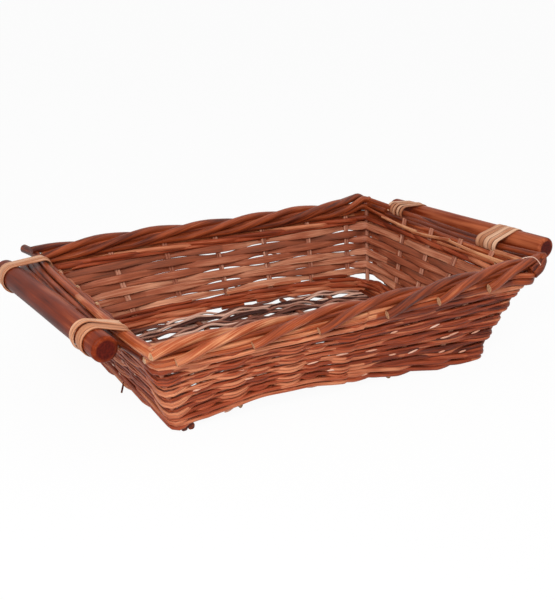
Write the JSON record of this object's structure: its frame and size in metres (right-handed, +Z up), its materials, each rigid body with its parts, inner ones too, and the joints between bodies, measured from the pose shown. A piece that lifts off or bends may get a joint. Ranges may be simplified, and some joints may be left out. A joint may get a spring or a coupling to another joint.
{
  "type": "handled tray basket",
  "caption": "Rectangular flared tray basket of stained split willow with a rolled border and a round wooden bar handle tied to each short end.",
  "frame": {"origin": "middle of the basket at floor level", "axes": "+X along the basket from bar to bar, +Y across it away from the front wall, +Z up"},
  "size_m": [0.5064, 0.2888, 0.1144],
  "materials": {
    "round_willow": "satin stained bark",
    "split_willow": "satin stained, fibrous",
    "turned_wood": "satin varnish",
    "cane": "satin natural cane"
  },
  "bodies": {
    "root": {"base_sticks": "round_willow", "base_end_sticks_left": "round_willow", "base_end_sticks_right": "round_willow", "base_weavers": "split_willow", "corner_stakes": "round_willow", "handle_bar_left": "turned_wood", "handle_bar_right": "turned_wood", "binding_left_far": "cane", "binding_left_near": "cane", "binding_right_far": "cane", "binding_right_near": "cane", "front_stakes": "round_willow", "front_bottom_wale": "round_willow", "front_weavers": "split_willow", "front_top_wale": "round_willow", "front_border_rods": "round_willow", "right_stakes": "round_willow", "right_bottom_wale": "round_willow", "right_weavers": "split_willow", "right_top_wale": "round_willow", "right_border_rods": "round_willow", "back_stakes": "round_willow", "back_bottom_wale": "round_willow", "back_weavers": "split_willow", "back_top_wale": "round_willow", "back_border_rods": "round_willow", "left_stakes": "round_willow", "left_bottom_wale": "round_willow", "left_weavers": "split_willow", "left_top_wale": "round_willow", "left_border_rods": "round_willow"}
  },
  "joints": []
}
